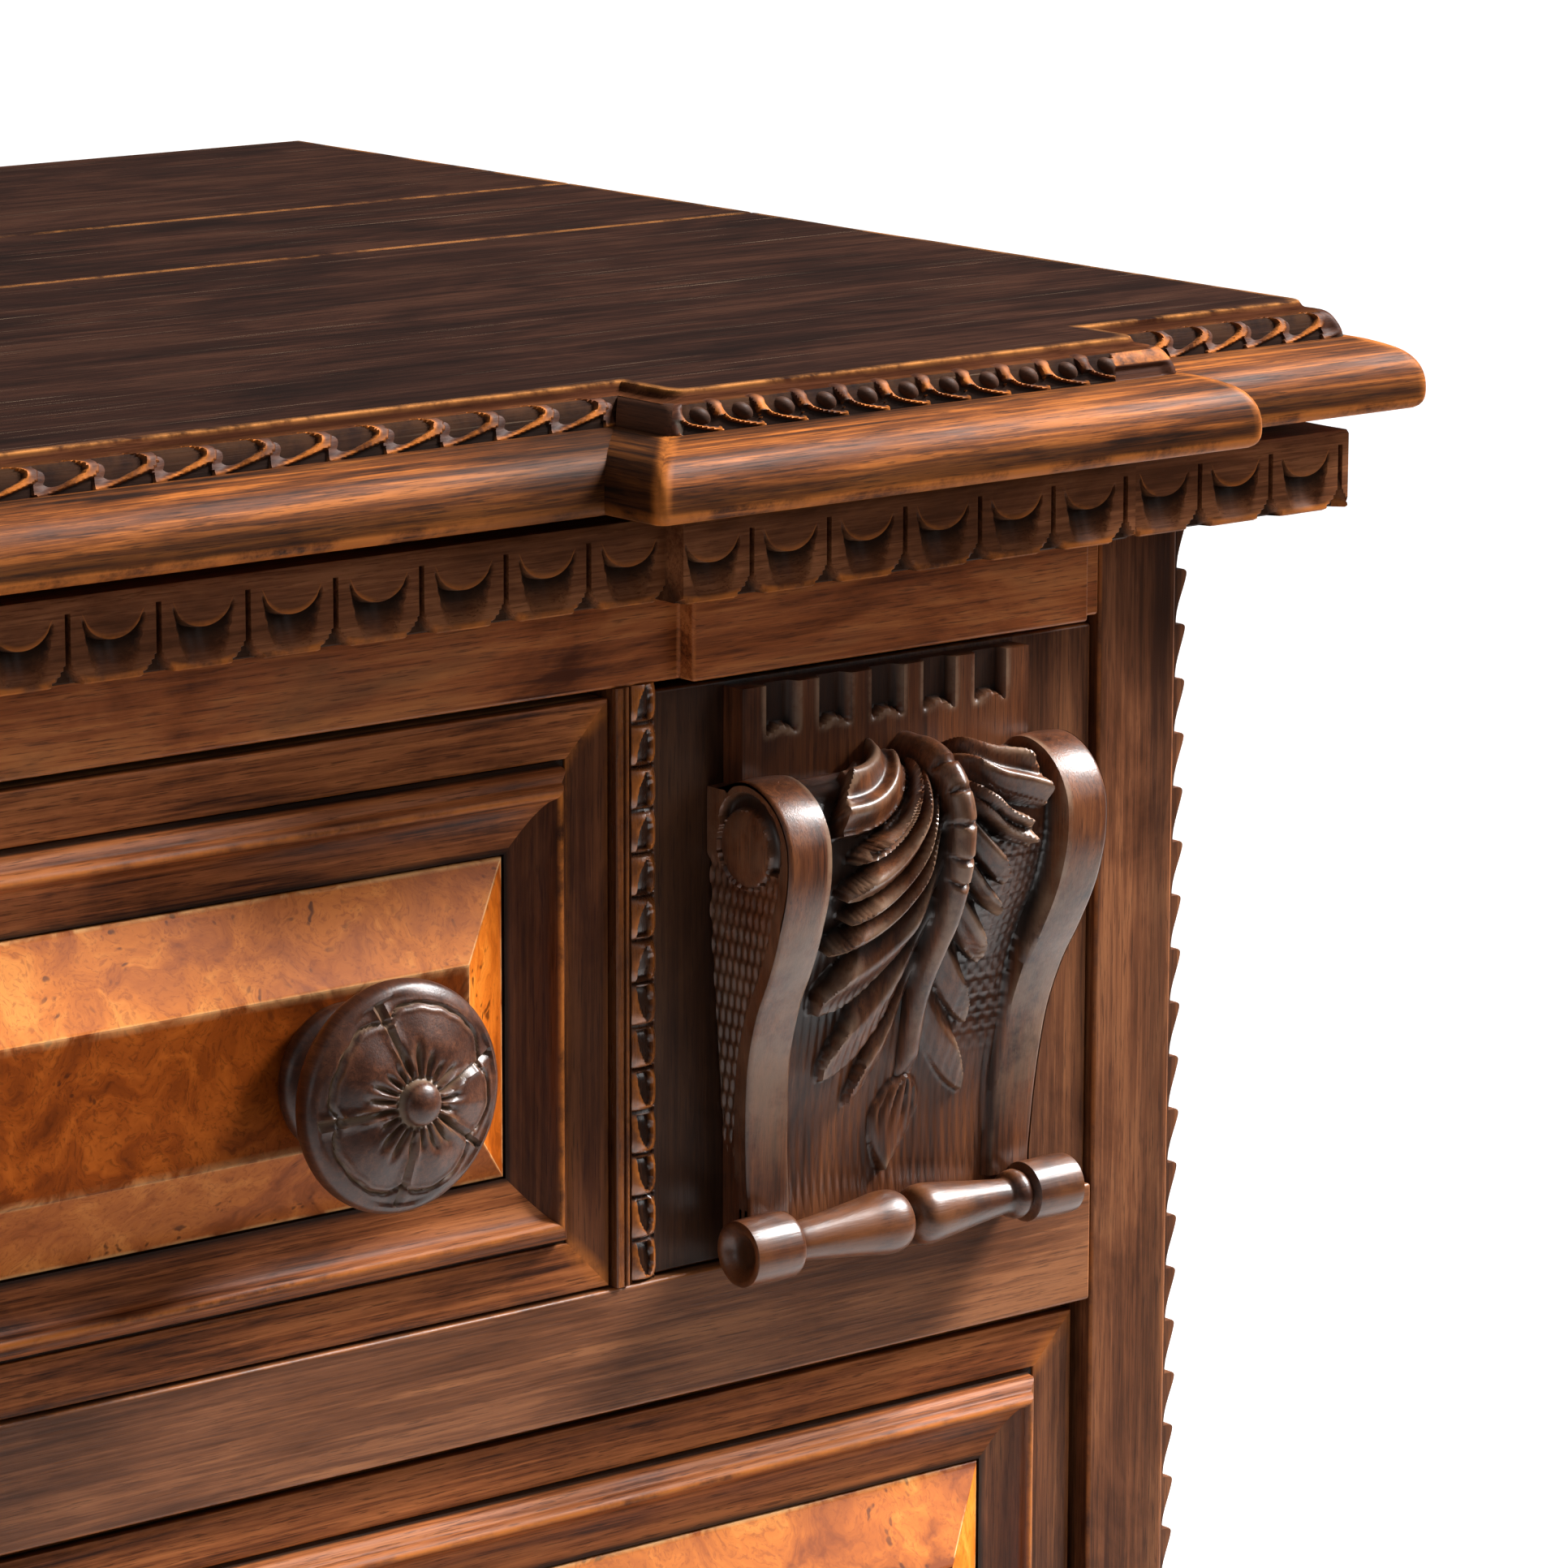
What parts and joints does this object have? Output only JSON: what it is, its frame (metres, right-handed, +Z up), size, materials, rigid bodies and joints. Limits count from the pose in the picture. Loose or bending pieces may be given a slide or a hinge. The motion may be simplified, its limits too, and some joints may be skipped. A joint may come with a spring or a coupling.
{
  "type": "chest of drawers",
  "caption": "Carved walnut chest of drawers with a stepped moulded top, scooped frieze, burl-panelled long drawers, corbelled corner drawers, turned knobs and bun feet.",
  "frame": {"origin": "on the floor under the middle of the chest's box", "axes": "+X to the right seen from the front, +Y to the back, +Z up; the drawers open towards -Y"},
  "size_m": [1.412, 0.555, 0.9424],
  "materials": {
    "walnut": "old waxed walnut with worn edges",
    "dark_walnut": "dark satin waxed walnut",
    "burl_walnut": "polished burl walnut veneer",
    "secondary_wood": "bare planed softwood"
  },
  "bodies": {
    "chest": {"top_front_board": "dark_walnut", "top_back_board": "dark_walnut", "frieze": "walnut", "fascia": "walnut", "side_left": "walnut", "side_right": "walnut", "tooth_strip_left": "walnut", "tooth_strip_right": "walnut", "back_panel": "secondary_wood", "bottom_board": "walnut", "rail_lower": "walnut", "rail_upper": "walnut", "dust_board_lower": "secondary_wood", "dust_board_upper": "secondary_wood", "partition_left": "walnut", "partition_right": "walnut", "plinth": "walnut", "foot_front_left": "walnut", "foot_front_right": "walnut", "foot_back_left": "walnut", "foot_back_right": "walnut"},
    "top_drawer": {"top_drawer_front": "walnut", "top_drawer_moulding": "walnut", "top_drawer_panel": "burl_walnut", "top_drawer_side_left": "secondary_wood", "top_drawer_side_right": "secondary_wood", "top_drawer_back": "secondary_wood", "top_drawer_bottom": "secondary_wood", "top_drawer_knob_left": "dark_walnut", "top_drawer_knob_right": "dark_walnut"},
    "middle_drawer": {"middle_drawer_front": "walnut", "middle_drawer_moulding": "walnut", "middle_drawer_panel": "burl_walnut", "middle_drawer_side_left": "secondary_wood", "middle_drawer_side_right": "secondary_wood", "middle_drawer_back": "secondary_wood", "middle_drawer_bottom": "secondary_wood", "middle_drawer_knob_left": "dark_walnut", "middle_drawer_knob_right": "dark_walnut"},
    "lower_drawer": {"lower_drawer_front": "walnut", "lower_drawer_moulding": "walnut", "lower_drawer_panel": "burl_walnut", "lower_drawer_side_left": "secondary_wood", "lower_drawer_side_right": "secondary_wood", "lower_drawer_back": "secondary_wood", "lower_drawer_bottom": "secondary_wood", "lower_drawer_knob_left": "dark_walnut", "lower_drawer_knob_right": "dark_walnut"},
    "corner_drawer_left": {"corner_drawer_left_front": "walnut", "corner_drawer_left_corbel": "walnut", "corner_drawer_left_side_left": "secondary_wood", "corner_drawer_left_side_right": "secondary_wood", "corner_drawer_left_back": "secondary_wood", "corner_drawer_left_bottom": "secondary_wood"},
    "corner_drawer_right": {"corner_drawer_right_front": "walnut", "corner_drawer_right_corbel": "walnut", "corner_drawer_right_side_left": "secondary_wood", "corner_drawer_right_side_right": "secondary_wood", "corner_drawer_right_back": "secondary_wood", "corner_drawer_right_bottom": "secondary_wood"}
  },
  "joints": [
    {"name": "top_drawer_slide", "type": "slide", "parent": "chest", "child": "top_drawer", "axis": [0, -1, 0], "range_m": [0, 0.36]},
    {"name": "middle_drawer_slide", "type": "slide", "parent": "chest", "child": "middle_drawer", "axis": [0, -1, 0], "range_m": [0, 0.36]},
    {"name": "lower_drawer_slide", "type": "slide", "parent": "chest", "child": "lower_drawer", "axis": [0, -1, 0], "range_m": [0, 0.36]},
    {"name": "corner_drawer_left_slide", "type": "slide", "parent": "chest", "child": "corner_drawer_left", "axis": [0, -1, 0], "range_m": [0, 0.36]},
    {"name": "corner_drawer_right_slide", "type": "slide", "parent": "chest", "child": "corner_drawer_right", "axis": [0, -1, 0], "range_m": [0, 0.36]}
  ]
}
